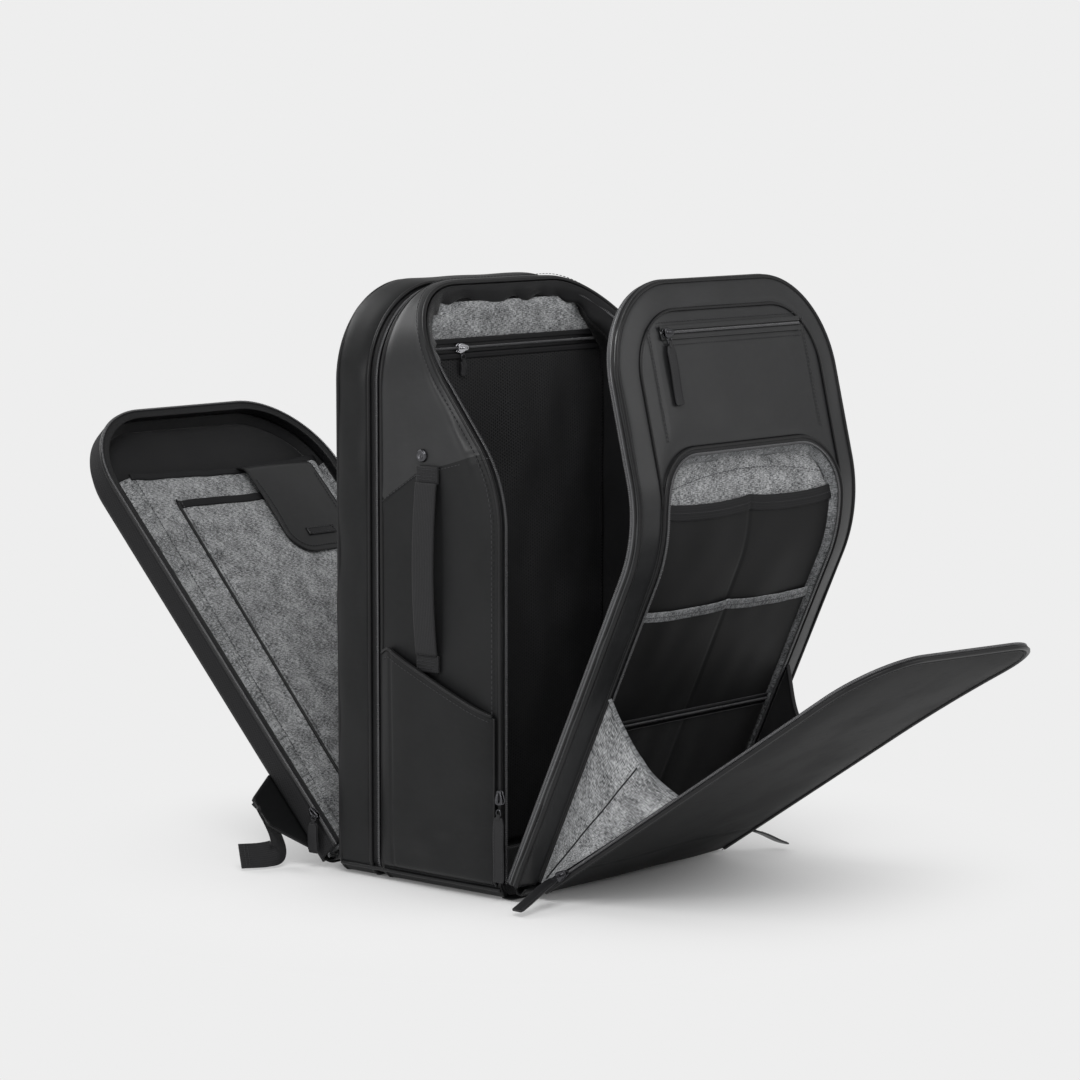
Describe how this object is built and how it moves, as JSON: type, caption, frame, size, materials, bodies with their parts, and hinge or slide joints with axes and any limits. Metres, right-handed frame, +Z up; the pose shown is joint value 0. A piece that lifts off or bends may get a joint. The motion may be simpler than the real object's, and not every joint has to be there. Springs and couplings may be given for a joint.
{
  "type": "travel backpack",
  "caption": "Carry-on travel backpack standing open: clamshell front lid with zipped organiser flap, main bay, and hinged back panel with laptop sleeves.",
  "frame": {"origin": "centre of the flat underside of the bag's base", "axes": "+Z up, +Y towards the back panel with the shoulder straps, +X to the bag's width"},
  "size_m": [0.432, 0.9666, 0.5471],
  "materials": {
    "shell": "matt coated woven shell",
    "lining": "heather woven lining",
    "mesh": "open black mesh",
    "zip_tape": "coated zip tape and coil",
    "webbing": "woven webbing",
    "padding": "padded mesh over foam",
    "pull_tab": "moulded pull tab",
    "hardware": "black plated zip slider"
  },
  "bodies": {
    "pack_body": {"rear_frame": "shell", "expansion_gusset": "shell", "expansion_zip": "zip_tape", "side_panel_left": "shell", "side_panel_right": "shell", "top_panel": "shell", "base_panel": "shell", "main_zip_tape": "zip_tape", "divider_panel": "lining", "divider_mesh_pocket": "mesh", "divider_zip": "zip_tape", "bottle_pocket_left": "shell", "bottle_pocket_right": "shell", "handle_anchors": "webbing", "snap_stud": "hardware"},
    "front_lid": {"lid_zip_tape": "zip_tape", "lid_panel": "shell", "lid_top_pocket": "shell", "top_pocket_zip": "zip_tape", "organizer_wall": "shell", "organizer_mesh_pocket": "mesh", "organizer_lower_pocket": "mesh", "organizer_gusset_left": "lining", "organizer_gusset_right": "lining"},
    "organizer_flap": {"flap_shell": "shell", "flap_zip_tape": "zip_tape"},
    "flap_tip": {"flap_tip_shell": "shell", "flap_tip_tape": "zip_tape"},
    "back_lid": {"back_zip_tape": "zip_tape", "back_tray_wall": "shell", "back_panel": "shell", "laptop_sleeve": "lining", "tablet_sleeve": "lining", "back_pad_left": "mesh", "back_pad_right": "mesh", "luggage_band": "mesh", "strap_yoke": "padding", "lower_webbing_left": "webbing", "lower_webbing_right": "webbing"},
    "sleeve_flap": {"sleeve_flap": "shell"},
    "side_handle": {"side_handle": "webbing"},
    "top_handle": {"top_handle": "webbing"},
    "shoulder_strap_left": {"shoulder_strap_left": "padding"},
    "shoulder_strap_right": {"shoulder_strap_right": "padding"},
    "strap_tail_left": {"strap_tail_left": "webbing"},
    "strap_tail_right": {"strap_tail_right": "webbing"},
    "main_slider_left": {"main_slider_left": "hardware"},
    "main_slider_right": {"main_slider_right": "hardware"},
    "main_pull_left": {"main_pull_left": "pull_tab"},
    "main_pull_right": {"main_pull_right": "pull_tab"},
    "flap_slider_left": {"flap_slider_left": "hardware"},
    "flap_slider_right": {"flap_slider_right": "hardware"},
    "flap_pull_left": {"flap_pull_left": "pull_tab"},
    "flap_pull_right": {"flap_pull_right": "pull_tab"},
    "back_slider": {"back_slider": "hardware"},
    "back_pull": {"back_pull": "pull_tab"},
    "pocket_slider": {"pocket_slider": "hardware"},
    "pocket_pull": {"pocket_pull": "pull_tab"},
    "divider_slider": {"divider_slider": "hardware"},
    "divider_pull": {"divider_pull": "pull_tab"}
  },
  "joints": [
    {"name": "front_lid_hinge", "type": "hinge", "parent": "pack_body", "child": "front_lid", "pos_m": [0, -0.101, 0.01], "axis": [1, 0, 0], "range_deg": [-24.5, 12]},
    {"name": "organizer_flap_hinge", "type": "hinge", "parent": "front_lid", "child": "organizer_flap", "pos_m": [0, -0.12124, 0.00957], "axis": [1, 0, 0], "range_deg": [-31.9, 0], "deforming": ["organizer_gusset_left", "organizer_gusset_right"]},
    {"name": "flap_tip_bend", "type": "hinge", "parent": "organizer_flap", "child": "flap_tip", "pos_m": [0, -0.42075, 0.20892], "axis": [1, 0, 0], "range_deg": [-38.2, 0]},
    {"name": "back_lid_hinge", "type": "hinge", "parent": "pack_body", "child": "back_lid", "pos_m": [0, 0.1006, 0.024], "axis": [-1, 0, 0], "range_deg": [-43, 10]},
    {"name": "sleeve_flap_hinge", "type": "hinge", "parent": "back_lid", "child": "sleeve_flap", "pos_m": [0.076, 0.40848, 0.34536], "axis": [-1, 0, 0], "range_deg": [0, 110]},
    {"name": "side_handle_swing", "type": "hinge", "parent": "pack_body", "child": "side_handle", "pos_m": [-0.1604, -0.017, 0.29], "axis": [0, 0, 1], "range_deg": [-12, 12]},
    {"name": "top_handle_swing", "type": "hinge", "parent": "back_lid", "child": "top_handle", "pos_m": [0, 0.45621, 0.35417], "axis": [1, 0, 0], "range_deg": [-15, 15]},
    {"name": "shoulder_strap_left_swing", "type": "hinge", "parent": "back_lid", "child": "shoulder_strap_left", "pos_m": [-0.069, 0.44398, 0.3154], "axis": [1, 0, 0], "range_deg": [0, 12]},
    {"name": "shoulder_strap_right_swing", "type": "hinge", "parent": "back_lid", "child": "shoulder_strap_right", "pos_m": [0.069, 0.44398, 0.3154], "axis": [1, 0, 0], "range_deg": [0, 12]},
    {"name": "strap_tail_left_swing", "type": "hinge", "parent": "back_lid", "child": "strap_tail_left", "pos_m": [-0.2035, 0.1649, 0.0495], "axis": [1, 0, 0], "range_deg": [-43, 20]},
    {"name": "strap_tail_right_swing", "type": "hinge", "parent": "back_lid", "child": "strap_tail_right", "pos_m": [0.2035, 0.1649, 0.0495], "axis": [1, 0, 0], "range_deg": [-43, 20]},
    {"name": "main_zip_left_slide", "type": "slide", "parent": "pack_body", "child": "main_slider_left", "axis": [0, 0, 1], "range_m": [0, 0.2]},
    {"name": "main_pull_left_swing", "type": "hinge", "parent": "main_slider_left", "child": "main_pull_left", "pos_m": [-0.1596, -0.1003, 0.0804], "axis": [0, 1, 0], "range_deg": [0, 100]},
    {"name": "main_zip_right_slide", "type": "slide", "parent": "pack_body", "child": "main_slider_right", "axis": [0, 0, 1], "range_m": [0, 0.2]},
    {"name": "main_pull_right_swing", "type": "hinge", "parent": "main_slider_right", "child": "main_pull_right", "pos_m": [0.1596, -0.1003, 0.0804], "axis": [0, -1, 0], "range_deg": [0, 100]},
    {"name": "flap_zip_left_slide", "type": "slide", "parent": "organizer_flap", "child": "flap_slider_left", "axis": [0, -0.8329, 0.5534], "range_m": [0, 0.28]},
    {"name": "flap_pull_left_swing", "type": "hinge", "parent": "flap_slider_left", "child": "flap_pull_left", "pos_m": [-0.1366, -0.15023, 0.02738], "axis": [0, 1, 0], "range_deg": [0, 60]},
    {"name": "flap_zip_right_slide", "type": "slide", "parent": "organizer_flap", "child": "flap_slider_right", "axis": [0, -0.8329, 0.5534], "range_m": [0, 0.28]},
    {"name": "flap_pull_right_swing", "type": "hinge", "parent": "flap_slider_right", "child": "flap_pull_right", "pos_m": [0.1366, -0.15023, 0.02738], "axis": [0, -1, 0], "range_deg": [0, 60]},
    {"name": "back_zip_slide", "type": "slide", "parent": "back_lid", "child": "back_slider", "axis": [0, 0.682, 0.7314], "range_m": [0, 0.3]},
    {"name": "back_pull_swing", "type": "hinge", "parent": "back_slider", "child": "back_pull", "pos_m": [-0.1632, 0.1241, 0.04845], "axis": [1, 0, 0], "range_deg": [-43, 0]},
    {"name": "pocket_zip_slide", "type": "slide", "parent": "front_lid", "child": "pocket_slider", "axis": [1, 0, 0], "range_m": [0, 0.17]},
    {"name": "pocket_pull_swing", "type": "hinge", "parent": "pocket_slider", "child": "pocket_pull", "pos_m": [-0.088, -0.22804, 0.51445], "axis": [-1, 0, 0], "range_deg": [0, 95]},
    {"name": "divider_zip_slide", "type": "slide", "parent": "pack_body", "child": "divider_slider", "axis": [1, 0, 0], "range_m": [0, 0.156]},
    {"name": "divider_pull_swing", "type": "hinge", "parent": "divider_slider", "child": "divider_pull", "pos_m": [-0.058, 0.03225, 0.4737], "axis": [-1, 0, 0], "range_deg": [0, 90]}
  ],
  "couplings": [
    {"joint": "flap_tip_bend", "follows": "organizer_flap_hinge", "ratio": 1.1912}
  ]
}
